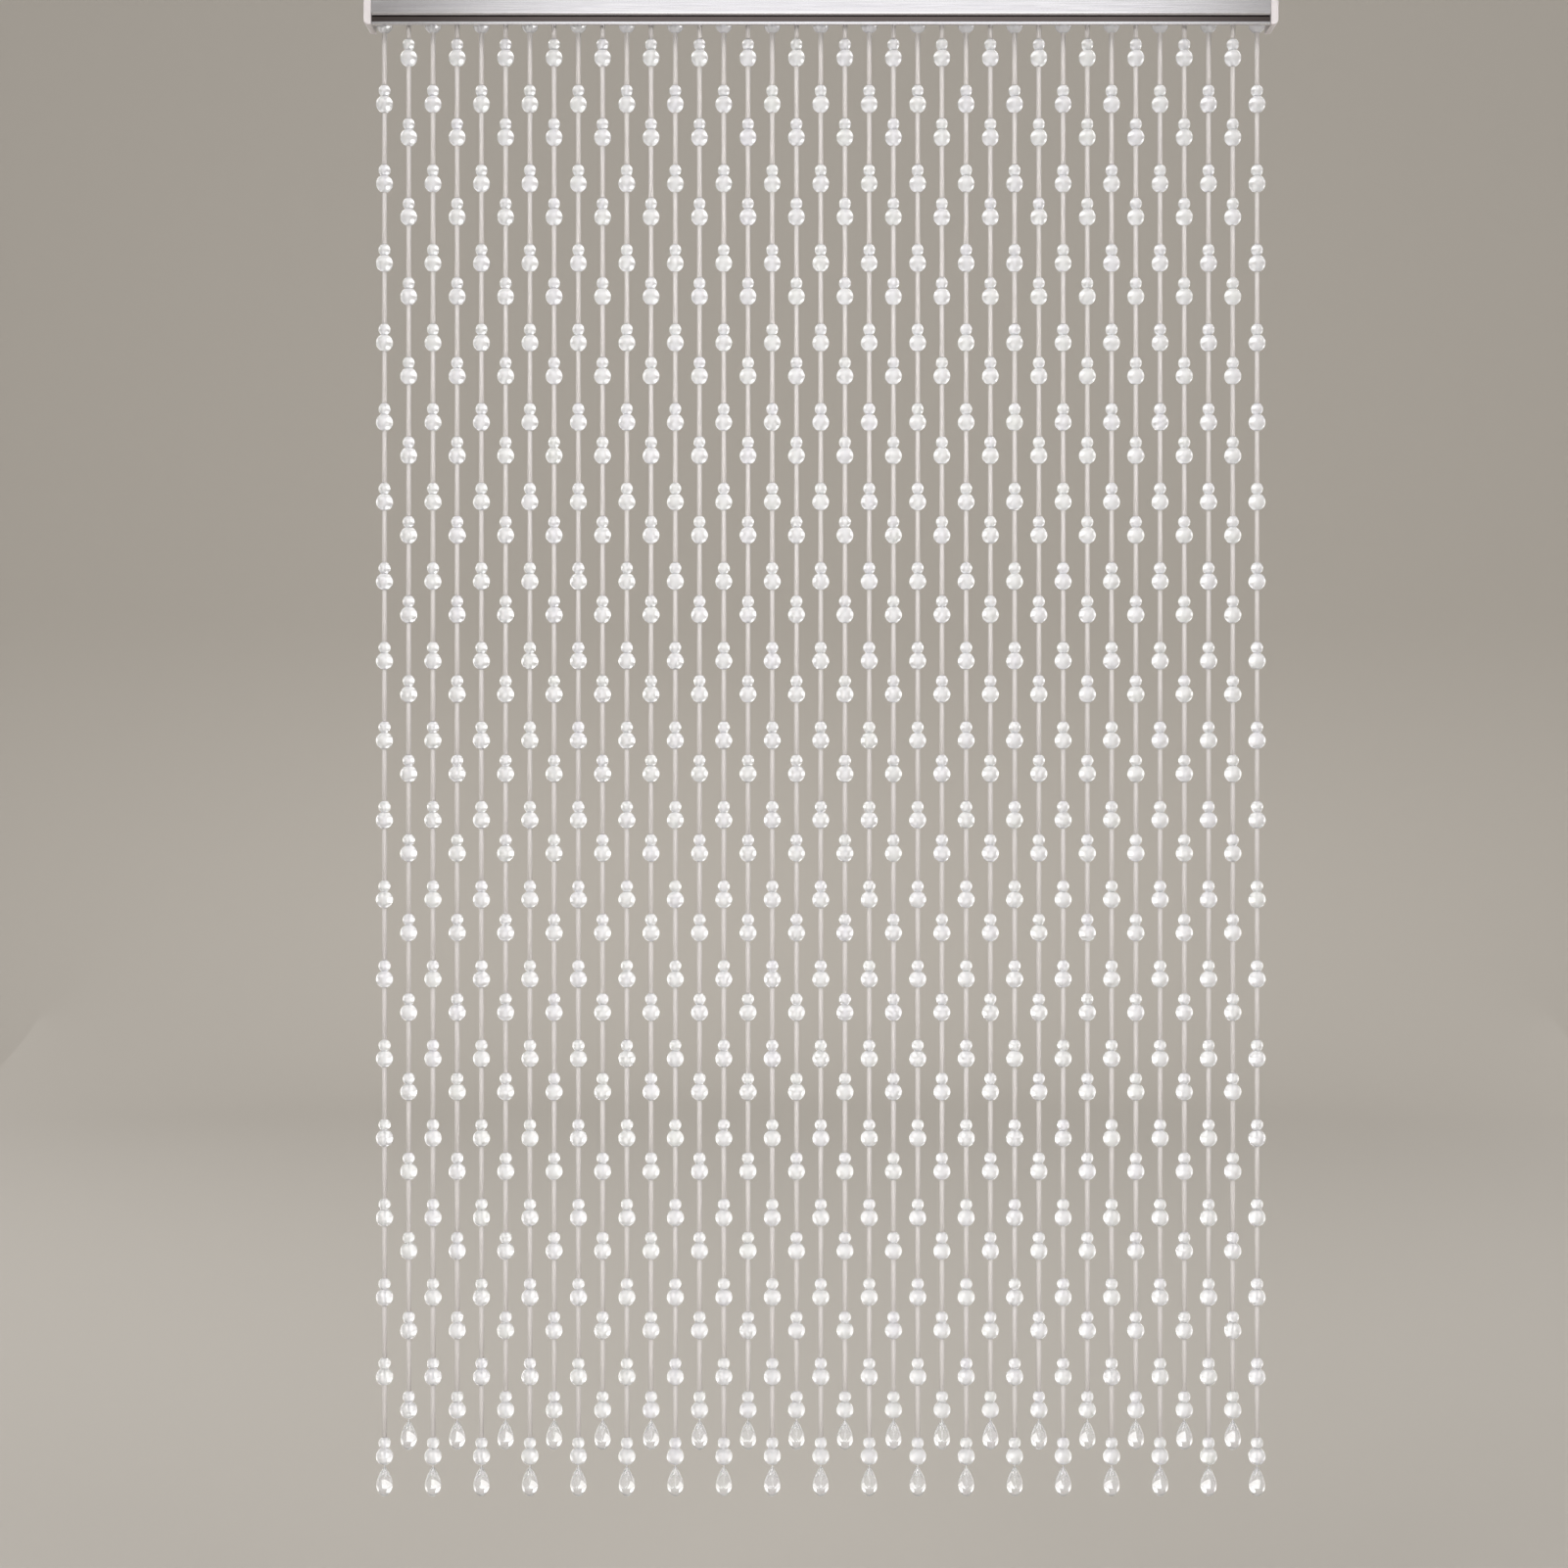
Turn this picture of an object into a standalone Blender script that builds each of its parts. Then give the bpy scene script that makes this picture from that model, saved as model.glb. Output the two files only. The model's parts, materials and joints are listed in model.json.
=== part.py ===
"""Bead curtain on an aluminium headrail.

37 strings hang from three carrier strips that lie inside a channel. Each string carries
gourds, a small ball on a big one, and ends in a drop. Every second string is shorter and
its gourds sit between those of its neighbours.

Metres, +Z up. The origin is the centre of the headrail's top face, which meets the lintel,
and everything hangs below it. X runs along the headrail, and -Y is the front.
"""
import math

import bmesh
import bpy
from mathutils import Vector

# The whole curtain
CURTAIN_WIDTH = 1.200
RUNNING_GAP = 0.0003
WELD_DISTANCE = 0.00001

# Headrail section, seen from its left end: Y is depth and Z is height
RAIL_DEPTH = 0.042
RAIL_HEIGHT = 0.048
BACK_WALL_HEIGHT = 0.034
WALL = 0.0016
LIP_HEIGHT = 0.0035
GROOVE_HEIGHT = 0.008
GROOVE_DEPTH = 0.0052
LIP_SETBACK = 0.0005
LEDGE_TOP = -0.0138
LEDGE_GAP = 0.015

# End caps
CAP_THICKNESS = 0.0097
CAP_PROUD = 0.0006
CAP_CORNER = 0.006
CAP_CORNER_STEPS = 4

# Carrier strips
STRIP_DEPTH = 0.024
STRIP_THICKNESS = 0.0035
STRIP_END_MARGIN = 0.005
STRIP_TABLE = (
    # name, number of strings
    ("strings_left", 12),
    ("strings_middle", 13),
    ("strings_right", 12),
)

# Strings and beads, as diameters and spacings of the real ones
STRING_PITCH = 0.032
CORD_WIDTH = 0.006
SMALL_BEAD = 0.016
BIG_BEAD = 0.0225
BEAD_CENTRES_APART = 0.0176
GOURD_PERIOD = 0.105
SIDES = 3
ROOT_DEPTH = 0.002

# Height of the first big bead's centre, and how many gourds a string carries
LONG_STRING = {"first_bead": -0.0424, "gourds": 19}
SHORT_STRING = {"first_bead": -0.0863, "gourds": 18}

# Drop at the string's end, measured down from the last big bead's centre
DROP_WIDTH = 0.0218
DROP_WIDEST = 0.0385
DROP_LOW_WIDTH = 0.0130
DROP_LOW = 0.0490
DROP_TIP = 0.0525

# Colours: red, green, blue, roughness, metallic
FINISHES = {
    "headrail": ((0.78, 0.78, 0.80), 0.32, 1.0),
    "end_cap": ((0.74, 0.71, 0.71), 0.40, 0.0),
    "strings": ((0.93, 0.94, 0.94), 0.08, 0.0),
}


def clear_scene():
    for item in list(bpy.data.objects):
        bpy.data.objects.remove(item, do_unlink=True)


def new_collection(name):
    collection = bpy.data.collections.new(name)
    bpy.context.scene.collection.children.link(collection)
    return collection


def finish(name, kind):
    """A Principled material of one of the table's finishes."""
    colour, roughness, metallic = FINISHES[kind]
    material = bpy.data.materials.new(name)
    material.use_nodes = True
    shader = material.node_tree.nodes["Principled BSDF"]
    shader.inputs["Base Color"].default_value = (*colour, 1.0)
    shader.inputs["Roughness"].default_value = roughness
    shader.inputs["Metallic"].default_value = metallic
    return material


def place(name, data, collection):
    item = bpy.data.objects.new(name, data)
    collection.objects.link(item)
    return item


def outline_curve(name, points, thickness):
    """A flat outline, filled and extruded to its full thickness about its own plane."""
    curve = bpy.data.curves.new(name, "CURVE")
    curve.dimensions = "2D"
    curve.fill_mode = "BOTH"
    curve.extrude = thickness / 2
    spline = curve.splines.new("POLY")
    spline.points.add(len(points) - 1)
    for point, (across, up) in zip(spline.points, points):
        point.co = (across, up, 0.0, 1.0)
    spline.use_cyclic_u = True
    return curve


def box_mesh(name, low, high):
    """A box between two corners, with its origin at the world's."""
    low, high = Vector(low), Vector(high)
    mesh = bpy.data.meshes.new(name)
    shape = bmesh.new()
    bmesh.ops.create_cube(shape, size=1.0)
    bmesh.ops.scale(shape, vec=high - low, verts=shape.verts)
    bmesh.ops.translate(shape, vec=(low + high) / 2, verts=shape.verts)
    shape.to_mesh(mesh)
    shape.free()
    return mesh


def make_mesh_of(item, collection):
    """Swap a curve object for a welded mesh object of the same name and place."""
    bpy.context.view_layer.update()
    evaluated = item.evaluated_get(bpy.context.evaluated_depsgraph_get())
    mesh = bpy.data.meshes.new_from_object(evaluated)
    shape = bmesh.new()
    shape.from_mesh(mesh)
    bmesh.ops.remove_doubles(shape, verts=shape.verts, dist=WELD_DISTANCE)
    bmesh.ops.recalc_face_normals(shape, faces=shape.faces)
    shape.to_mesh(mesh)
    shape.free()
    name, matrix = item.name, item.matrix_world.copy()
    bpy.data.objects.remove(item, do_unlink=True)
    solid = place(name, mesh, collection)
    solid.matrix_world = matrix
    return solid


def join(item, other=None, collection=None):
    """Fuse one guide object, or all objects of a guide collection, to an object."""
    union = item.modifiers.new("union", "BOOLEAN")
    union.operation = "UNION"
    union.solver = "EXACT"
    if collection:
        union.operand_type = "COLLECTION"
        union.collection = collection
    else:
        union.object = other


def hide_guide(item):
    item.hide_render = True
    item.display_type = "WIRE"


def rail_section():
    """The channel's closed outline: front at -Y, open at the bottom."""
    front = -RAIL_DEPTH / 2
    back = RAIL_DEPTH / 2
    face_bottom = -RAIL_HEIGHT + LIP_HEIGHT + GROOVE_HEIGHT
    lip_top = -RAIL_HEIGHT + LIP_HEIGHT
    groove_outer = front + GROOVE_DEPTH
    groove_inner = groove_outer + WALL
    ledge_bottom = LEDGE_TOP - WALL
    ledge_tip = LEDGE_GAP / 2
    return [
        (front, 0.0),
        (back, 0.0),
        (back, -BACK_WALL_HEIGHT),
        (back - WALL, -BACK_WALL_HEIGHT),
        (back - WALL, ledge_bottom),
        (ledge_tip, ledge_bottom),
        (ledge_tip, LEDGE_TOP),
        (back - WALL, LEDGE_TOP),
        (back - WALL, -WALL),
        (front + WALL, -WALL),
        (front + WALL, LEDGE_TOP),
        (-ledge_tip, LEDGE_TOP),
        (-ledge_tip, ledge_bottom),
        (front + WALL, ledge_bottom),
        (front + WALL, face_bottom + WALL),
        (groove_inner, face_bottom + WALL),
        (groove_inner, -RAIL_HEIGHT),
        (front + LIP_SETBACK, -RAIL_HEIGHT),
        (front + LIP_SETBACK, lip_top),
        (groove_outer, lip_top),
        (groove_outer, face_bottom),
        (front, face_bottom),
    ]


def rail_half_length():
    return CURTAIN_WIDTH / 2 - CAP_THICKNESS - RUNNING_GAP


def build_headrail(collection):
    curve = outline_curve("headrail", rail_section(), 2 * rail_half_length())
    curve.materials.append(finish("headrail", "headrail"))
    rail = place("headrail", curve, collection)
    rail.rotation_euler = (math.pi / 2, 0.0, math.pi / 2)


def cap_outline(side):
    """The cap's front outline in X and Z, its outer corners rounded."""
    inner = side * (CURTAIN_WIDTH / 2 - CAP_THICKNESS)
    outer = side * CURTAIN_WIDTH / 2
    bottom = -RAIL_HEIGHT - CAP_PROUD
    corner_x = outer - side * CAP_CORNER
    points = [(inner, 0.0)]
    for corner_z, start in ((-CAP_CORNER, 90.0), (bottom + CAP_CORNER, 0.0)):
        for step in range(CAP_CORNER_STEPS + 1):
            angle = math.radians(start - 90.0 * step / CAP_CORNER_STEPS)
            x = corner_x + side * CAP_CORNER * math.cos(angle)
            points.append((x, corner_z + CAP_CORNER * math.sin(angle)))
    points.append((inner, bottom))
    return points


def build_end_cap(name, side, collection, guides):
    """A plate, flush at the back, with a tongue in the channel above its ledges."""
    depth = RAIL_DEPTH + CAP_PROUD
    plate = place(name, outline_curve(name, cap_outline(side), depth), collection)
    plate.rotation_euler = (math.pi / 2, 0.0, 0.0)
    plate.location.y = -CAP_PROUD / 2
    cap = make_mesh_of(plate, collection)
    cap.data.materials.append(finish(name, "end_cap"))

    tongue_half_depth = RAIL_DEPTH / 2 - WALL - RUNNING_GAP
    ends = (
        side * (strip_end() + RUNNING_GAP),
        side * (CURTAIN_WIDTH / 2 - CAP_THICKNESS / 2),
    )
    low = (min(ends), -tongue_half_depth, LEDGE_TOP + RUNNING_GAP)
    high = (max(ends), tongue_half_depth, -WALL - RUNNING_GAP)
    tongue = place(f"{name}_tongue", box_mesh(f"{name}_tongue", low, high), guides)
    hide_guide(tongue)
    join(cap, other=tongue)


def string_count():
    return sum(count for _, count in STRIP_TABLE)


def string_x(index):
    return (index - (string_count() - 1) / 2) * STRING_PITCH


def strip_end():
    return string_x(string_count() - 1) + STRIP_END_MARGIN


def corner_radius(width):
    """Corner radius of a regular prism whose flat front is this wide."""
    return width / 2 / math.sin(math.pi / SIDES)


def string_profile(first_bead, gourds):
    """Radius and height down the string's outer side, from its root to the drop's tip."""
    cord = corner_radius(CORD_WIDTH)
    root = strip_bottom() + ROOT_DEPTH
    points = [(0.0, root), (cord, root)]
    for gourd in range(gourds):
        big = first_bead - gourd * GOURD_PERIOD
        small = big + BEAD_CENTRES_APART
        points.append((cord, small + SMALL_BEAD / 2))
        points.append((corner_radius(SMALL_BEAD), small))
        points.append((corner_radius(BIG_BEAD), big))
        points.append((cord, big - BIG_BEAD / 2))
    points.append((corner_radius(DROP_WIDTH), big - DROP_WIDEST))
    points.append((corner_radius(DROP_LOW_WIDTH), big - DROP_LOW))
    points.append((0.0, big - DROP_TIP))
    return points


def profile_mesh(name, points):
    mesh = bpy.data.meshes.new(name)
    shape = bmesh.new()
    previous = None
    for radius, height in points:
        vertex = shape.verts.new((radius, 0.0, height))
        if previous:
            shape.edges.new((previous, vertex))
        previous = vertex
    shape.to_mesh(mesh)
    shape.free()
    return mesh


def strip_bottom():
    return LEDGE_TOP + RUNNING_GAP


def turn_string(name, mesh, x, guides):
    """One string, turned about its own axis, with one edge to the front."""
    string = place(name, mesh, guides)
    string.location.x = x
    string.rotation_euler.z = -math.pi / 2
    turn = string.modifiers.new("turn", "SCREW")
    turn.steps = SIDES
    turn.render_steps = SIDES
    turn.use_merge_vertices = True
    turn.merge_threshold = WELD_DISTANCE
    turn.use_smooth_shade = False
    hide_guide(string)


def build_strings(collection):
    """Three carrier strips, each fused with the roots of its own strings."""
    long_mesh = profile_mesh("long_string", string_profile(**LONG_STRING))
    short_mesh = profile_mesh("short_string", string_profile(**SHORT_STRING))
    bottom = strip_bottom()
    first = 0
    for name, count in STRIP_TABLE:
        last = first + count - 1
        left = string_x(first) - STRING_PITCH / 2 + RUNNING_GAP / 2
        right = string_x(last) + STRING_PITCH / 2 - RUNNING_GAP / 2
        low = (max(left, -strip_end()), -STRIP_DEPTH / 2, bottom)
        high = (min(right, strip_end()), STRIP_DEPTH / 2, bottom + STRIP_THICKNESS)
        strip = place(name, box_mesh(name, low, high), collection)
        strip.data.materials.append(finish(name, "strings"))
        guides = new_collection(f"{name}_guides")
        for index in range(first, last + 1):
            mesh = long_mesh if index % 2 == 0 else short_mesh
            turn_string(f"string_{index + 1:02d}", mesh, string_x(index), guides)
        join(strip, collection=guides)
        first = last + 1


def main():
    clear_scene()
    curtain = new_collection("bead_curtain")
    guides = new_collection("bead_curtain_guides")
    build_headrail(curtain)
    build_end_cap("end_cap_left", -1, curtain, guides)
    build_end_cap("end_cap_right", 1, curtain, guides)
    build_strings(curtain)


main()
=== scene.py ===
"""Looks of the bead curtain: turned crystal balls and drops, white spacer tubes, headrail.

The strings hang from three carrier strips inside an aluminium channel. Each string is a thin
line that carries gourds, a small ball on a big one, kept apart by spacer tubes, and ends in
a drop. Metres, +Z up, -Y is the front, the origin is the middle of the headrail's top face.
"""
import json
import math

import bmesh
import bpy
from mathutils import Matrix, Vector


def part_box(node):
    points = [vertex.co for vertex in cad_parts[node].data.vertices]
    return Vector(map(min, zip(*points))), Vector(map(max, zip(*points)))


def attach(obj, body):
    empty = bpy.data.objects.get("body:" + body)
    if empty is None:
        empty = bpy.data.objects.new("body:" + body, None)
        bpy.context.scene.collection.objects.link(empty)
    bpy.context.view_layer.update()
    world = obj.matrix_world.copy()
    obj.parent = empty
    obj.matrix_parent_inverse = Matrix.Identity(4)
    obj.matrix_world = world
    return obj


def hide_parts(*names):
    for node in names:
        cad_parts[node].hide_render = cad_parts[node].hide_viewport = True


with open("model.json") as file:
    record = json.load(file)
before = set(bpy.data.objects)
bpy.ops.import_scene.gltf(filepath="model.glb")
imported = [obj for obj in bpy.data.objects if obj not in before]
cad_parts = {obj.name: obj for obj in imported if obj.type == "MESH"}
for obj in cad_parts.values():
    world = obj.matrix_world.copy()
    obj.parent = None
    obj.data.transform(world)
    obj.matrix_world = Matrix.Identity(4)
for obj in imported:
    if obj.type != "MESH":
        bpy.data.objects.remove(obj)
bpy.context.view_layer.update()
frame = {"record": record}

# Strings, as they hang in the frame's solids
STRING_PITCH = 0.032
GOURD_PERIOD = 0.105
BEAD_CENTRES_APART = 0.0176
LONG_FIRST_BEAD = -0.0424
SHORT_FIRST_BEAD = -0.0863
LONG_GOURDS = 19
SHORT_GOURDS = 18
STRIPS = (
    # side of the curtain, first string, number of strings
    ("left", 0, 12),
    ("middle", 12, 13),
    ("right", 25, 12),
)
STRING_COUNT = sum(strip[2] for strip in STRIPS)

# Crystal balls and drops
BIG_RADIUS = 0.01125
SMALL_RADIUS = 0.008
BORE_RADIUS = 0.0012
GROUND_GAP = 0.00006
BIG_SIDES = 24
SMALL_SIDES = 18
BIG_RINGS = 13
SMALL_RINGS = 9
DROP_RADIUS = 0.0106
DROP_LENGTH = 0.0385
DROP_TIP = 0.0525
DROP_NECK = 0.0018
DROP_SKEW = 1.45
DROP_FULLNESS = 0.5
DROP_SIDES = 24
DROP_RINGS = 16
DROP_BORE_DEPTH = 0.007

# Spacer tubes and the line inside them
TUBE_RADIUS = 0.0032
TUBE_EDGE = 0.0004
TUBE_SIDES = 14
LINE_RADIUS = 0.0007
LINE_SIDES = 8

# Headrail section
WALL = 0.0016
LIP_HEIGHT = 0.0035
GROOVE_HEIGHT = 0.008
GROOVE_DEPTH = 0.0052
LIP_SETBACK = 0.0005
FACE_ROUND = 0.0045
ROUND_STEPS = 8
LEDGE_GAP = 0.015
BACK_HEIGHT = 0.034
SEAT_GAP = 0.0003
EDGE_BEVEL = 0.00022
CAP_CORNER = 0.006
CAP_BEVEL = 0.0009
STRIP_THICKNESS = 0.0035
STRIP_BEVEL = 0.0004

# Welding of points that meet
TURNED_WELD = 0.000001
OUTLINE_WELD = 0.00001

# Finishes
# Painted shade: a dark tone painted into the rail's groove in place of the shadow there; the
# fades soften the painted band's edges
GROOVE_SHADE_TONE = (0.125, 0.108, 0.106)
GROOVE_FADE = 0.001
LIP_FADE = 0.0005
LIP_FADE_DROP = 0.0004
BALL_CLEAR = 0.65
DROP_CLEAR = 0.8

# View and room: the camera is level and stands a little left of the middle
EYE_DISTANCE = 3.1
EYE_SIDE = -0.0485
EYE_BELOW_RAIL = 0.9968
EYE_HEIGHT = 1.25
LENS_MM = 53.9
SENSOR_MM = 36.0
COVE_RADIUS = 8.0
COVE_HEIGHT = 5.1
COVE_BEND = 2.0
COVE_BEND_STEPS = 16
COVE_SIDES = 96
COVE_COLOUR = (0.48, 0.45, 0.408)
COVE_ROUGHNESS = 0.9
WARM_LIGHT = (1.0, 0.985, 0.975)
AIR_COLOUR = (1.0, 0.98, 0.958)
AIR_STRENGTH = 0.35


def colour_of(slot):
    """A slot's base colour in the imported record, as red, green and blue."""
    for material in frame["record"]["materials"]:
        if material["slot"] == slot:
            return tuple(material["base_color"][:3])
    raise KeyError(slot)


def toned(colour, shares):
    """A colour with each channel scaled, as a socket value."""
    return tuple(min(1.0, channel * share) for channel, share in zip(colour, shares)) + (1.0,)


def new_group(name, inputs, outputs):
    """An empty shader group with its sockets, and its inner input and output nodes."""
    group = bpy.data.node_groups.new(name, "ShaderNodeTree")
    for label, kind, value in inputs:
        socket = group.interface.new_socket(label, in_out="INPUT", socket_type=kind)
        socket.default_value = value
    for label, kind in outputs:
        group.interface.new_socket(label, in_out="OUTPUT", socket_type=kind)
    entry = group.nodes.new("NodeGroupInput")
    leave = group.nodes.new("NodeGroupOutput")
    return group, entry, leave


def make_tone_drift():
    """Slow drift between two tones of one finish."""
    group, entry, leave = new_group(
        "tone_drift",
        (
            ("Tone", "NodeSocketColor", (0.8, 0.8, 0.8, 1.0)),
            ("Other Tone", "NodeSocketColor", (0.7, 0.7, 0.7, 1.0)),
            ("Scale", "NodeSocketFloat", 20.0),
            ("Stretch", "NodeSocketVector", (1.0, 1.0, 1.0)),
        ),
        (("Colour", "NodeSocketColor"),),
    )
    nodes, links = group.nodes, group.links
    place = nodes.new("ShaderNodeTexCoord")
    stretch = nodes.new("ShaderNodeVectorMath")
    stretch.operation = "MULTIPLY"
    noise = nodes.new("ShaderNodeTexNoise")
    noise.inputs["Detail"].default_value = 3.0
    mix = nodes.new("ShaderNodeMix")
    mix.data_type = "RGBA"
    links.new(place.outputs["Object"], stretch.inputs[0])
    links.new(entry.outputs["Stretch"], stretch.inputs[1])
    links.new(stretch.outputs["Vector"], noise.inputs["Vector"])
    links.new(entry.outputs["Scale"], noise.inputs["Scale"])
    links.new(noise.outputs["Fac"], mix.inputs["Factor"])
    links.new(entry.outputs["Tone"], mix.inputs["A"])
    links.new(entry.outputs["Other Tone"], mix.inputs["B"])
    links.new(mix.outputs["Result"], leave.inputs["Colour"])
    return group


def make_worn_polish():
    """Roughness between a clean and a handled surface, and a fine unevenness."""
    group, entry, leave = new_group(
        "worn_polish",
        (
            ("Clean", "NodeSocketFloat", 0.1),
            ("Handled", "NodeSocketFloat", 0.3),
            ("Scale", "NodeSocketFloat", 60.0),
            ("Stretch", "NodeSocketVector", (1.0, 1.0, 1.0)),
        ),
        (("Roughness", "NodeSocketFloat"), ("Height", "NodeSocketFloat")),
    )
    nodes, links = group.nodes, group.links
    place = nodes.new("ShaderNodeTexCoord")
    stretch = nodes.new("ShaderNodeVectorMath")
    stretch.operation = "MULTIPLY"
    noise = nodes.new("ShaderNodeTexNoise")
    noise.inputs["Detail"].default_value = 4.0
    spread = nodes.new("ShaderNodeMapRange")
    spread.inputs["From Min"].default_value = 0.3
    spread.inputs["From Max"].default_value = 0.7
    links.new(place.outputs["Object"], stretch.inputs[0])
    links.new(entry.outputs["Stretch"], stretch.inputs[1])
    links.new(stretch.outputs["Vector"], noise.inputs["Vector"])
    links.new(entry.outputs["Scale"], noise.inputs["Scale"])
    links.new(noise.outputs["Fac"], spread.inputs["Value"])
    links.new(entry.outputs["Clean"], spread.inputs["To Min"])
    links.new(entry.outputs["Handled"], spread.inputs["To Max"])
    links.new(spread.outputs["Result"], leave.inputs["Roughness"])
    links.new(noise.outputs["Fac"], leave.inputs["Height"])
    return group


def ramp(nodes, links, value, start, end):
    """A smooth step of a coordinate between two limits, from 0 to 1."""
    step = nodes.new("ShaderNodeMapRange")
    step.interpolation_type = "SMOOTHSTEP"
    links.new(value, step.inputs["Value"])
    links.new(start, step.inputs["From Min"])
    links.new(end, step.inputs["From Max"])
    return step.outputs["Result"]


def product(nodes, links, first, second):
    """Two shader values multiplied."""
    node = nodes.new("ShaderNodeMath")
    node.operation = "MULTIPLY"
    links.new(first, node.inputs[0])
    links.new(second, node.inputs[1])
    return node.outputs["Value"]


def make_groove_shade_mask():
    """Where shade is painted in the groove under the channel's face: 1 in the groove, 0
    elsewhere, from the section's own limits.
    """
    group, entry, leave = new_group(
        "groove_shade_mask",
        (
            ("Y Start", "NodeSocketFloat", 0.0),
            ("Y End", "NodeSocketFloat", 0.001),
            ("Z Low Start", "NodeSocketFloat", 0.0),
            ("Z Low End", "NodeSocketFloat", 0.001),
            ("Z High End", "NodeSocketFloat", 0.002),
            ("Z High Start", "NodeSocketFloat", 0.003),
        ),
        (("Mask", "NodeSocketFloat"),),
    )
    nodes, links = group.nodes, group.links
    place = nodes.new("ShaderNodeTexCoord")
    split = nodes.new("ShaderNodeSeparateXYZ")
    links.new(place.outputs["Object"], split.inputs["Vector"])
    y, z, limits = split.outputs["Y"], split.outputs["Z"], entry.outputs
    deep = ramp(nodes, links, y, limits["Y Start"], limits["Y End"])
    above = ramp(nodes, links, z, limits["Z Low Start"], limits["Z Low End"])
    below = ramp(nodes, links, z, limits["Z High Start"], limits["Z High End"])
    shade_mask = product(nodes, links, product(nodes, links, deep, above), below)
    links.new(shade_mask, leave.inputs["Mask"])
    return group


TONE_DRIFT = make_tone_drift()
WORN_POLISH = make_worn_polish()
GROOVE_SHADE_MASK = make_groove_shade_mask()


def use_group(material, group, **values):
    """A shared group in a material, with its inputs set by their labels."""
    node = material.node_tree.nodes.new("ShaderNodeGroup")
    node.node_tree = group
    for label, value in values.items():
        socket = node.inputs[label.replace("_", " ")]
        socket.default_value = value
    return node


def finish(name, slot, tones, drift, polish, bump, fixed=None):
    """A Principled finish: drifting tone, worn polish and a fine bump.

    tones holds two sets of red, green and blue shares of the slot's colour. drift and polish
    hold the groups' values, bump is (strength, distance in metres), and fixed holds constants
    for the shader's own sockets.
    """
    material = bpy.data.materials.new(name)
    material.use_nodes = True
    nodes, links = material.node_tree.nodes, material.node_tree.links
    shader = nodes["Principled BSDF"]
    colour = colour_of(slot)
    tone = use_group(
        material,
        TONE_DRIFT,
        Tone=toned(colour, tones[0]),
        Other_Tone=toned(colour, tones[1]),
        **drift,
    )
    worn = use_group(material, WORN_POLISH, **polish)
    relief = nodes.new("ShaderNodeBump")
    relief.inputs["Strength"].default_value = bump[0]
    relief.inputs["Distance"].default_value = bump[1]
    links.new(tone.outputs["Colour"], shader.inputs["Base Color"])
    links.new(worn.outputs["Roughness"], shader.inputs["Roughness"])
    links.new(worn.outputs["Height"], relief.inputs["Height"])
    links.new(relief.outputs["Normal"], shader.inputs["Normal"])
    for label, value in (fixed or {}).items():
        shader.inputs[label].default_value = value
    return material


def crystal(name, clear):
    """Clear acrylic with a slight milkiness that drifts between warm and cool."""
    even = (1.0, 1.0, 1.0)
    return finish(
        name,
        "bead_crystal",
        ((1.0, 0.965, 1.05), (1.0, 1.0, 0.955)),
        {"Scale": 24.0, "Stretch": even},
        {"Clean": 0.02, "Handled": 0.08, "Scale": 160.0, "Stretch": even},
        (0.05, 0.0008),
        {"Transmission Weight": clear, "IOR": 1.49},
    )


def paint_groove_shade(material, rail_low):
    """Painted shade: the groove under the channel's face is painted a dark tone in the
    channel's finish, standing in for its shadow.
    """
    nodes, links = material.node_tree.nodes, material.node_tree.links
    shader = nodes["Principled BSDF"]
    lip_top = rail_low.z + LIP_HEIGHT
    face_bottom = lip_top + GROOVE_HEIGHT
    shade_mask = use_group(
        material,
        GROOVE_SHADE_MASK,
        Y_Start=rail_low.y + WALL,
        Y_End=rail_low.y + WALL + GROOVE_FADE,
        Z_Low_Start=lip_top - LIP_FADE_DROP,
        Z_Low_End=lip_top - LIP_FADE_DROP + LIP_FADE,
        Z_High_End=face_bottom + WALL - GROOVE_FADE,
        Z_High_Start=face_bottom + WALL,
    )
    # The groove gets a dark tone mixed over the metal's colour as painted shade
    metal = shader.inputs["Base Color"].links[0].from_socket
    mix = nodes.new("ShaderNodeMix")
    mix.data_type = "RGBA"
    mix.inputs["B"].default_value = (*GROOVE_SHADE_TONE, 1.0)
    links.new(shade_mask.outputs["Mask"], mix.inputs["Factor"])
    links.new(metal, mix.inputs["A"])
    links.new(mix.outputs["Result"], shader.inputs["Base Color"])


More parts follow.
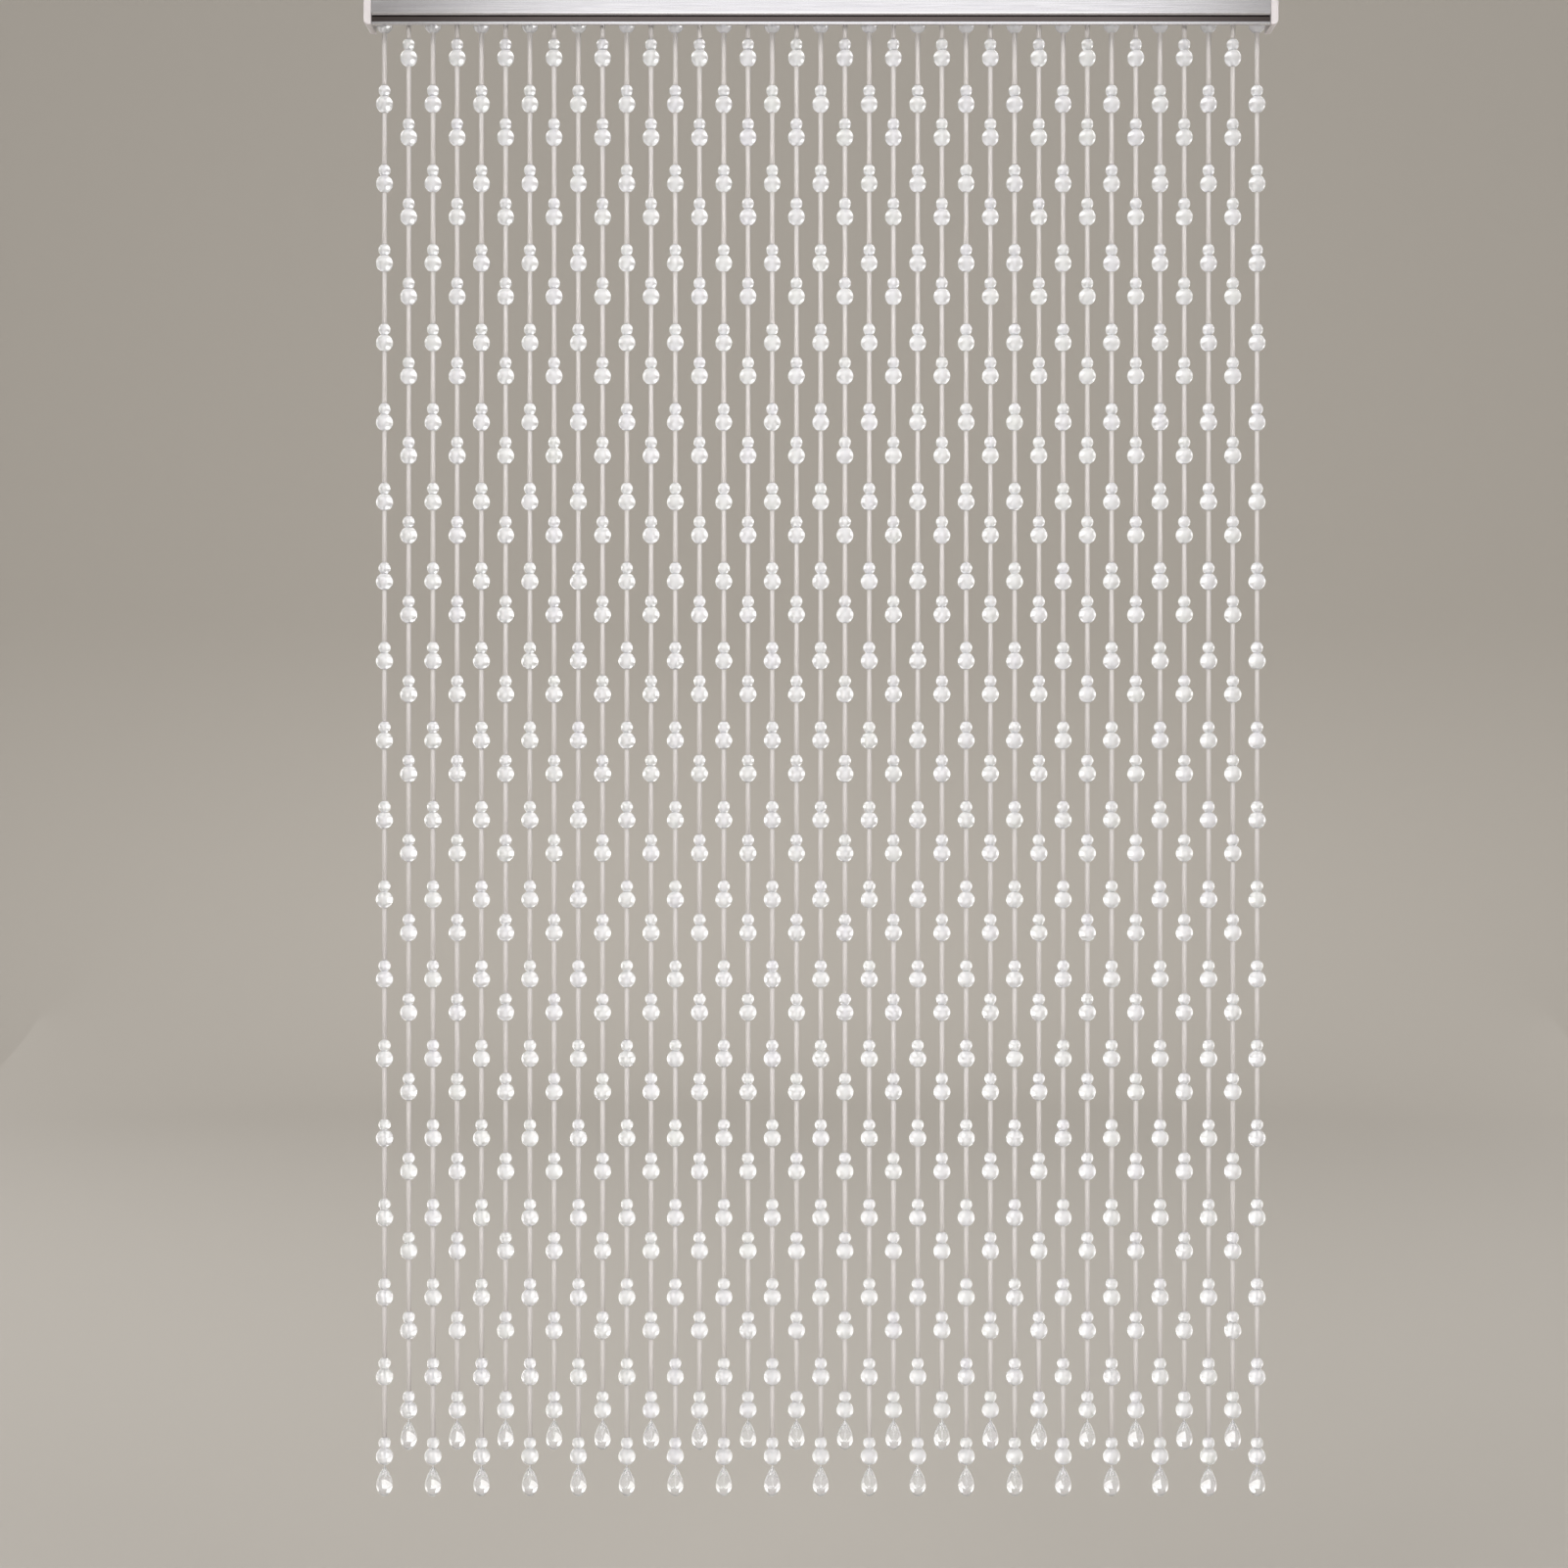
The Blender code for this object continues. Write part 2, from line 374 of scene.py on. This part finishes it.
def make_finishes():
    """Every material of the curtain, by the name of its part."""
    along = (0.02, 1.0, 1.0)
    hanging = (1.0, 1.0, 0.2)
    even = (1.0, 1.0, 1.0)
    finishes = {
        "rail": finish(
            "brushed_aluminium",
            "rail_aluminium",
            ((1.0, 1.0, 1.0), (0.78, 0.765, 0.81)),
            {"Scale": 420.0, "Stretch": along},
            {"Clean": 0.17, "Handled": 0.27, "Scale": 1500.0, "Stretch": along},
            (0.05, 0.0001),
            {"Metallic": 1.0},
        ),
        "cap": finish(
            "moulded_cap",
            "cap_plastic",
            ((0.79, 0.77, 0.78), (0.72, 0.7, 0.705)),
            {"Scale": 40.0, "Stretch": even},
            {"Clean": 0.32, "Handled": 0.5, "Scale": 1400.0, "Stretch": even},
            (0.1, 0.0001),
        ),
        "strip": finish(
            "moulded_strip",
            "strip_plastic",
            ((1.0, 1.0, 1.0), (0.93, 0.92, 0.91)),
            {"Scale": 30.0, "Stretch": even},
            {"Clean": 0.35, "Handled": 0.5, "Scale": 900.0, "Stretch": even},
            (0.1, 0.0001),
        ),
        "tube": finish(
            "white_tube",
            "cord_white",
            ((0.6, 0.58, 0.58), (0.57, 0.55, 0.53)),
            {"Scale": 30.0, "Stretch": hanging},
            {"Clean": 0.3, "Handled": 0.45, "Scale": 700.0, "Stretch": hanging},
            (0.08, 0.0001),
        ),
        "line": finish(
            "clear_line",
            "cord_white",
            ((0.9, 0.9, 0.92), (0.8, 0.8, 0.82)),
            {"Scale": 30.0, "Stretch": hanging},
            {"Clean": 0.2, "Handled": 0.3, "Scale": 900.0, "Stretch": hanging},
            (0.05, 0.0001),
        ),
        "crystal": crystal("ball_crystal", BALL_CLEAR),
        "drop": crystal("drop_crystal", DROP_CLEAR),
    }
    # Painted shade: the rail finish's groove is painted dark
    paint_groove_shade(finishes["rail"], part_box("headrail")[0])
    return finishes


def seat(name, mesh, material, slot, *nodes):
    """A finished piece that rides with the curtain and stands for its solids."""
    mesh.name = name
    mesh.materials.clear()
    mesh.materials.append(material)
    piece = bpy.data.objects.new(name, mesh)
    bpy.context.scene.collection.objects.link(piece)
    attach(piece, "root")
    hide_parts(*nodes)
    return piece


def read_mesh(guide):
    """The guide's evaluated mesh. The guide is then removed."""
    bpy.context.view_layer.update()
    evaluated = guide.evaluated_get(bpy.context.evaluated_depsgraph_get())
    mesh = bpy.data.meshes.new_from_object(evaluated)
    bpy.data.objects.remove(guide, do_unlink=True)
    return mesh


def guide_of(mesh):
    """A passing object that carries a mesh or curve through modifiers."""
    guide = bpy.data.objects.new("guide", mesh)
    bpy.context.scene.collection.objects.link(guide)
    return guide


def turned(points, sides, closed=False, sharp_degrees=40.0):
    """A shape turned about Z from (radius, height) pairs that run down its outer side."""
    outline = bpy.data.meshes.new("outline")
    edges = [(i, i + 1) for i in range(len(points) - 1)]
    if closed:
        edges.append((len(points) - 1, 0))
    outline.from_pydata([(radius, 0.0, height) for radius, height in points], edges, [])
    guide = guide_of(outline)
    turn = guide.modifiers.new("turn", "SCREW")
    turn.steps = sides
    turn.render_steps = sides
    turn.use_merge_vertices = True
    turn.merge_threshold = TURNED_WELD
    mesh = read_mesh(guide)
    face_outwards(mesh)
    mesh.shade_smooth()
    mesh.set_sharp_from_angle(angle=math.radians(sharp_degrees))
    return mesh


def face_outwards(mesh):
    """Turns every face of a mesh to its outer side."""
    shape = bmesh.new()
    shape.from_mesh(mesh)
    bmesh.ops.recalc_face_normals(shape, faces=shape.faces)
    shape.to_mesh(mesh)
    shape.free()


def sphere_points(radius, rings, top, bottom):
    """Points down a ball's outer side between two heights from its centre."""
    start = math.acos(top / radius)
    end = math.acos(bottom / radius)
    points = []
    for ring in range(rings + 1):
        angle = start + (end - start) * ring / rings
        points.append((radius * math.sin(angle), radius * math.cos(angle)))
    return points


def neck_height():
    """Height above the big ball's centre at which the two balls are ground flat."""
    apart = BEAD_CENTRES_APART
    return (apart**2 + BIG_RADIUS**2 - SMALL_RADIUS**2) / (2 * apart)


def big_ball():
    """A drilled ball, ground flat on top where the small ball sits."""
    top = neck_height() - GROUND_GAP / 2
    bottom = -math.sqrt(BIG_RADIUS**2 - BORE_RADIUS**2)
    points = [(BORE_RADIUS, top)]
    points += sphere_points(BIG_RADIUS, BIG_RINGS, top, bottom)
    return turned(points, BIG_SIDES, closed=True)


def small_ball():
    """A drilled ball, ground flat underneath, with its origin at the big ball's centre."""
    top = math.sqrt(SMALL_RADIUS**2 - BORE_RADIUS**2)
    bottom = neck_height() + GROUND_GAP / 2 - BEAD_CENTRES_APART
    points = sphere_points(SMALL_RADIUS, SMALL_RINGS, top, bottom)
    points.append((BORE_RADIUS, bottom))
    lifted = [(radius, height + BEAD_CENTRES_APART) for radius, height in points]
    return turned(lifted, SMALL_SIDES, closed=True)


def drop():
    """The pear-shaped drop, its line glued in a blind bore. Origin: the last big ball."""
    top = DROP_LENGTH - DROP_TIP
    points = [
        (0.0, top - DROP_BORE_DEPTH),
        (BORE_RADIUS, top - DROP_BORE_DEPTH),
        (BORE_RADIUS, top),
        (DROP_NECK, top),
    ]
    for ring in range(1, DROP_RINGS):
        share = 0.5 - 0.5 * math.cos(math.pi * ring / DROP_RINGS)
        swell = math.sin(math.pi * share**DROP_SKEW) ** DROP_FULLNESS
        points.append((max(DROP_NECK, DROP_RADIUS * swell), top - DROP_LENGTH * share))
    points.append((0.0, -DROP_TIP))
    return turned(points, DROP_SIDES)


def tube(top, bottom):
    """A spacer tube with softened ends, between two heights from the big ball's centre."""
    inner = TUBE_RADIUS - TUBE_EDGE
    points = [
        (BORE_RADIUS, top),
        (inner, top),
        (TUBE_RADIUS, top - TUBE_EDGE),
        (TUBE_RADIUS, (top + bottom) / 2),
        (TUBE_RADIUS, bottom + TUBE_EDGE),
        (inner, bottom),
        (BORE_RADIUS, bottom),
    ]
    return turned(points, TUBE_SIDES, closed=True, sharp_degrees=60.0)


def tube_rest(radius):
    """How far from a ball's centre the end of a tube touches it."""
    return math.sqrt(radius**2 - (TUBE_RADIUS - TUBE_EDGE) ** 2)


def repeated(shape, first, columns, rows):
    """A shape repeated down each string and across every second string."""
    guide = guide_of(shape)
    steps = (
        ("down", rows, (0.0, 0.0, -GOURD_PERIOD)),
        ("across", columns, (2 * STRING_PITCH, 0.0, 0.0)),
    )
    for name, count, step in steps:
        array = guide.modifiers.new(name, "ARRAY")
        array.count = count
        array.use_relative_offset = False
        array.use_constant_offset = True
        array.constant_offset_displace = step
    mesh = read_mesh(guide)
    mesh.transform(Matrix.Translation(first))
    return mesh


def merged(meshes):
    """Several meshes as one."""
    whole = bmesh.new()
    for mesh in meshes:
        whole.from_mesh(mesh)
    mesh = bpy.data.meshes.new("merged")
    whole.to_mesh(mesh)
    whole.free()
    return mesh


def string_x(index):
    """Where a string hangs along the rail. 0 is the leftmost string."""
    return (index - (STRING_COUNT - 1) / 2) * STRING_PITCH


def string_kinds(first, count):
    """First string, number of strings, first big ball and gourds of each kind in a strip."""
    for start in (first, first + 1):
        is_long = start % 2 == 0
        columns = len(range(start, first + count, 2))
        bead = LONG_FIRST_BEAD if is_long else SHORT_FIRST_BEAD
        gourds = LONG_GOURDS if is_long else SHORT_GOURDS
        yield start, columns, bead, gourds


def hung_line(place, last, strip_bottom, columns):
    """The lines of one kind of string, from their strip into the drops' bores."""
    line_end = last.z + DROP_LENGTH - DROP_TIP - DROP_BORE_DEPTH + LINE_RADIUS
    outline = [
        (0.0, strip_bottom),
        (LINE_RADIUS, strip_bottom),
        (LINE_RADIUS, line_end),
        (0.0, line_end),
    ]
    line = turned(outline, LINE_SIDES)
    return repeated(line, Vector((place.x, 0.0, 0.0)), columns, 1)


def build_strings(finishes):
    """Beads, tubes, lines and strip of every carrier strip."""
    big, small, end_drop = big_ball(), small_ball(), drop()
    above = BEAD_CENTRES_APART + tube_rest(SMALL_RADIUS)
    below = -tube_rest(BIG_RADIUS)
    spacer = tube(GOURD_PERIOD + below, above)
    for side, first, count in STRIPS:
        node = f"strings_{side}"
        strip_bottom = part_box(node)[1].z - STRIP_THICKNESS
        beads = {"big_balls": [], "small_balls": [], "drops": []}
        tubes, lines = [], []
        for start, columns, bead, gourds in string_kinds(first, count):
            place = Vector((string_x(start), 0.0, bead))
            last = place - Vector((0.0, 0.0, GOURD_PERIOD * (gourds - 1)))
            beads["big_balls"].append(repeated(big, place, columns, gourds))
            beads["small_balls"].append(repeated(small, place, columns, gourds))
            beads["drops"].append(repeated(end_drop, last, columns, 1))
            second = place - Vector((0.0, 0.0, GOURD_PERIOD))
            tubes.append(repeated(spacer, second, columns, gourds - 1))
            head = strip_bottom - place.z
            if head > above + TUBE_EDGE * 2:
                top_spacer = tube(head, above)
                tubes.append(repeated(top_spacer, place, columns, 1))
            lines.append(hung_line(place, last, strip_bottom, columns))
        for kind, meshes in beads.items():
            look = finishes["drop" if kind == "drops" else "crystal"]
            seat(f"{kind}_{side}", merged(meshes), look, "bead_crystal", node)
        seat(f"tubes_{side}", merged(tubes), finishes["tube"], "cord_white", node)
        seat(f"lines_{side}", merged(lines), finishes["line"], "cord_white", node)
        build_strip(side, node, strip_bottom, first, count, finishes)


def rounded_box(low, high, width):
    """A box with softened edges."""
    shape = bmesh.new()
    bmesh.ops.create_cube(shape, size=1.0)
    bmesh.ops.scale(shape, vec=high - low, verts=shape.verts)
    bmesh.ops.translate(shape, vec=(low + high) / 2, verts=shape.verts)
    mesh = bpy.data.meshes.new("rounded_box")
    shape.to_mesh(mesh)
    shape.free()
    return softened(mesh, width)


def build_strip(side, node, bottom, first, count, finishes):
    """The carrier strip that lies on the channel's ledges."""
    box_low, box_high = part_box(node)
    left = max(box_low.x, string_x(first) - STRING_PITCH / 2)
    right = min(box_high.x, string_x(first + count - 1) + STRING_PITCH / 2)
    half_depth = box_high.y
    low = Vector((left, -half_depth, bottom))
    high = Vector((right, half_depth, box_high.z))
    mesh = rounded_box(low, high, STRIP_BEVEL)
    seat(f"strip_{side}", mesh, finishes["strip"], "strip_plastic", node)


def arc(centre, radius, start, end, steps):
    """Points round an arc in the section's plane, angles in degrees."""
    points = []
    for step in range(steps + 1):
        angle = math.radians(start + (end - start) * step / steps)
        y = centre[0] + radius * math.cos(angle)
        points.append((y, centre[1] + radius * math.sin(angle)))
    return points


def rail_section(low, high):
    """The channel's outline in Y and Z, with its face rolled in at the groove."""
    front, back, bottom = low.y, high.y, low.z
    strip_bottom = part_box("strings_left")[1].z - STRIP_THICKNESS
    ledge_top = strip_bottom - SEAT_GAP
    ledge_bottom = ledge_top - WALL
    ledge_tip = LEDGE_GAP / 2
    lip_top = bottom + LIP_HEIGHT
    face_bottom = lip_top + GROOVE_HEIGHT
    groove_outer = front + GROOVE_DEPTH
    groove_inner = groove_outer + WALL
    roll = (front + FACE_ROUND, face_bottom + FACE_ROUND)
    points = [
        (front, 0.0),
        (back, 0.0),
        (back, -BACK_HEIGHT),
        (back - WALL, -BACK_HEIGHT),
        (back - WALL, ledge_bottom),
        (ledge_tip, ledge_bottom),
        (ledge_tip, ledge_top),
        (back - WALL, ledge_top),
        (back - WALL, -WALL),
        (front + WALL, -WALL),
        (front + WALL, ledge_top),
        (-ledge_tip, ledge_top),
        (-ledge_tip, ledge_bottom),
        (front + WALL, ledge_bottom),
    ]
    points += arc(roll, FACE_ROUND - WALL, 180.0, 270.0, ROUND_STEPS)
    points += [
        (groove_inner, face_bottom + WALL),
        (groove_inner, bottom),
        (front + LIP_SETBACK, bottom),
        (front + LIP_SETBACK, lip_top),
        (groove_outer, lip_top),
        (groove_outer, face_bottom),
    ]
    points += arc(roll, FACE_ROUND, 270.0, 180.0, ROUND_STEPS)
    return points


def extruded(points, turn, thickness):
    """A filled outline, extruded about its plane and welded."""
    curve = bpy.data.curves.new("outline", "CURVE")
    curve.dimensions = "2D"
    curve.fill_mode = "BOTH"
    curve.extrude = thickness / 2
    spline = curve.splines.new("POLY")
    spline.points.add(len(points) - 1)
    for point, (across, up) in zip(spline.points, points):
        point.co = (across, up, 0.0, 1.0)
    spline.use_cyclic_u = True
    mesh = read_mesh(guide_of(curve))
    mesh.transform(turn.to_4x4())
    shape = bmesh.new()
    shape.from_mesh(mesh)
    bmesh.ops.remove_doubles(shape, verts=shape.verts, dist=OUTLINE_WELD)
    bmesh.ops.dissolve_limit(
        shape, angle_limit=math.radians(1.0), verts=shape.verts, edges=shape.edges
    )
    bmesh.ops.recalc_face_normals(shape, faces=shape.faces)
    shape.to_mesh(mesh)
    shape.free()
    return mesh


def softened(mesh, width, segments=2, angle=40.0):
    """Bevelled edges where faces meet at more than an angle, with flat faces kept flat."""
    mesh.shade_smooth()
    guide = guide_of(mesh)
    bevel = guide.modifiers.new("edges", "BEVEL")
    bevel.width = width
    bevel.segments = segments
    bevel.limit_method = "ANGLE"
    bevel.angle_limit = math.radians(angle)
    bevel.use_clamp_overlap = True
    flatten = guide.modifiers.new("normals", "WEIGHTED_NORMAL")
    flatten.keep_sharp = True
    return read_mesh(guide)


def build_headrail(finishes):
    """The aluminium channel, extruded along X."""
    low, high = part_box("headrail")
    along_x = Matrix(((0.0, 0.0, 1.0), (1.0, 0.0, 0.0), (0.0, 1.0, 0.0)))
    mesh = extruded(rail_section(low, high), along_x, high.x - low.x)
    mesh = softened(mesh, EDGE_BEVEL)
    seat("rail_channel", mesh, finishes["rail"], "rail_aluminium", "headrail")


def build_end_cap(side, node, finishes):
    """A moulded plate with rounded outer corners."""
    low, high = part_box(node)
    sign = 1 if high.x > 0 else -1
    rail_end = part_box("headrail")[1].x + SEAT_GAP
    inner, outer = sign * rail_end, sign * max(abs(low.x), abs(high.x))
    corner_x = outer - sign * CAP_CORNER
    points = [(inner, high.z)]
    for corner_z, start in ((high.z - CAP_CORNER, 90.0), (low.z + CAP_CORNER, 0.0)):
        for step in range(ROUND_STEPS + 1):
            angle = math.radians(start - 90.0 * step / ROUND_STEPS)
            x = corner_x + sign * CAP_CORNER * math.cos(angle)
            points.append((x, corner_z + CAP_CORNER * math.sin(angle)))
    points.append((inner, low.z))
    upright = Matrix(((1.0, 0.0, 0.0), (0.0, 0.0, -1.0), (0.0, 1.0, 0.0)))
    mesh = extruded(points, upright, high.y - low.y)
    mesh.transform(Matrix.Translation((0.0, (low.y + high.y) / 2, 0.0)))
    mesh = softened(mesh, CAP_BEVEL, segments=3, angle=50.0)
    seat(f"cap_{side}", mesh, finishes["cap"], "cap_plastic", node)


def plain_finish(name, colour, roughness):
    """A plain material for the studio."""
    material = bpy.data.materials.new(name)
    material.use_nodes = True
    shader = material.node_tree.nodes["Principled BSDF"]
    shader.inputs["Base Color"].default_value = (*colour, 1.0)
    shader.inputs["Roughness"].default_value = roughness
    return material


def build_cove(floor_z):
    """A pale round studio cove: floor, bend and wall in one."""
    points = [(COVE_RADIUS, COVE_HEIGHT)]
    for step in range(COVE_BEND_STEPS + 1):
        angle = math.radians(-90.0 * step / COVE_BEND_STEPS)
        x = COVE_RADIUS - COVE_BEND + COVE_BEND * math.cos(angle)
        points.append((x, COVE_BEND + COVE_BEND * math.sin(angle)))
    points.append((0.0, 0.0))
    mesh = turned(points, COVE_SIDES)
    mesh.flip_normals()
    mesh.transform(Matrix.Translation((0.0, 0.0, floor_z)))
    mesh.materials.append(plain_finish("pale_studio", COVE_COLOUR, COVE_ROUGHNESS))
    cove = bpy.data.objects.new("studio_cove", mesh)
    bpy.context.scene.collection.objects.link(cove)


def add_softbox(name, place, target, size, power, colour=(1.0, 1.0, 1.0)):
    """A soft light that the camera itself doesn't see."""
    light = bpy.data.lights.new(name, "AREA")
    light.shape = "RECTANGLE"
    light.size, light.size_y = size
    light.energy = power
    light.color = colour
    lamp = bpy.data.objects.new(name, light)
    lamp.location = place
    lamp.rotation_euler = (Vector(target) - Vector(place)).to_track_quat("-Z", "Y").to_euler()
    lamp.visible_camera = False
    bpy.context.scene.collection.objects.link(lamp)
    return lamp


def add_sky(name, bearing, height, strength, spread):
    """A wide soft light from far off: bearing right of the front and height, in degrees."""
    light = bpy.data.lights.new(name, "SUN")
    light.energy = strength
    light.angle = math.radians(spread)
    lamp = bpy.data.objects.new(name, light)
    lamp.rotation_euler = (math.radians(90.0 - height), 0.0, math.radians(bearing))
    bpy.context.scene.collection.objects.link(lamp)
    return lamp


def build_lights(middle_z):
    """Soft light from the upper left and right, a front light and glow in the beads."""
    middle = (0.0, 0.0, middle_z)
    # Wide far lights that shade the balls and the tubes
    add_sky("left_key", -48.0, 42.0, 1.12, 32.0)
    add_sky("right_fill", 52.0, 38.0, 0.96, 34.0)
    back = add_sky("back_fill", 160.0, 44.0, 0.7, 40.0)
    back.visible_transmission = False
    # Cards that the rail's face and its rolled edge mirror
    add_softbox("rail_card", (0.11, -3.1, 0.2), (0.11, 0.0, 0.0), (1.96, 2.2), 14.2)
    roll = add_softbox("roll_card", (0.1, -3.7, middle_z), middle, (1.6, 2.2), 13.0)
    roll.visible_diffuse = False
    # A front light that fills the beads, far off so that it leaves no pool on the floor
    front = add_softbox("eye_light", (0.1, -5.8, middle_z + 0.9), middle, (2.8, 2.2), 58.0)
    front.data.spread = math.radians(110.0)
    front.visible_glossy = False
    # Low strips for the undersides: name, place, height that they aim at, watts
    uplights = (
        ("rail_uplight", (0.0, -1.2, -1.5), -0.06, 2.1),
        ("foot_uplight", (0.0, -1.9, -2.15), -1.5, 1.7),
    )
    for name, place, lit_z, power in uplights:
        low = add_softbox(name, place, (0.0, 0.0, lit_z), (1.3, 0.15), power)
        low.data.spread = math.radians(60.0)
        low.visible_glossy = low.visible_transmission = False
    add_softbox("back_light", (-2.3, 2.8, 1.8), middle, (1.4, 1.0), 14.0)
    # Wings beside the backdrop and glow on the floor, seen only through the clear beads
    floor_z = middle_z - EYE_HEIGHT
    for side, power in (("left", 70.0), ("right", 62.0)):
        sign = -1 if side == "left" else 1
        place = (3.4 * sign, 3.4, middle_z - 0.1)
        aim = (0.0, 3.0, place[2])
        wing = add_softbox(f"{side}_wing", place, aim, (6.0, 2.2), power, WARM_LIGHT)
        place = (1.5 * sign, 1.9, floor_z + 0.02)
        aim = (place[0], place[1], 0.0)
        glow = add_softbox(f"{side}_glow", place, aim, (2.0, 2.8), 11.5, WARM_LIGHT)
        wing.visible_diffuse = glow.visible_diffuse = False
    world = bpy.data.worlds.new("studio_air")
    world.use_nodes = True
    air = world.node_tree.nodes["Background"]
    air.inputs["Color"].default_value = (*AIR_COLOUR, 1.0)
    air.inputs["Strength"].default_value = AIR_STRENGTH
    bpy.context.scene.world = world


def build_camera(eye_z):
    """A level camera in front of the curtain."""
    lens = bpy.data.cameras.new("camera")
    lens.lens = LENS_MM
    lens.sensor_width = SENSOR_MM
    camera = bpy.data.objects.new("camera", lens)
    camera.location = (EYE_SIDE, -EYE_DISTANCE, eye_z)
    camera.rotation_euler = (math.pi / 2, 0.0, 0.0)
    bpy.context.scene.collection.objects.link(camera)
    bpy.context.scene.camera = camera


rail_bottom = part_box("headrail")[0].z
eye_level = rail_bottom - EYE_BELOW_RAIL
bpy.context.scene.view_settings.view_transform = "Standard"
build_camera(eye_level)
finish_table = make_finishes()
build_headrail(finish_table)
build_end_cap("left", "end_cap_left", finish_table)
build_end_cap("right", "end_cap_right", finish_table)
build_strings(finish_table)
build_cove(eye_level - EYE_HEIGHT)
build_lights(eye_level)
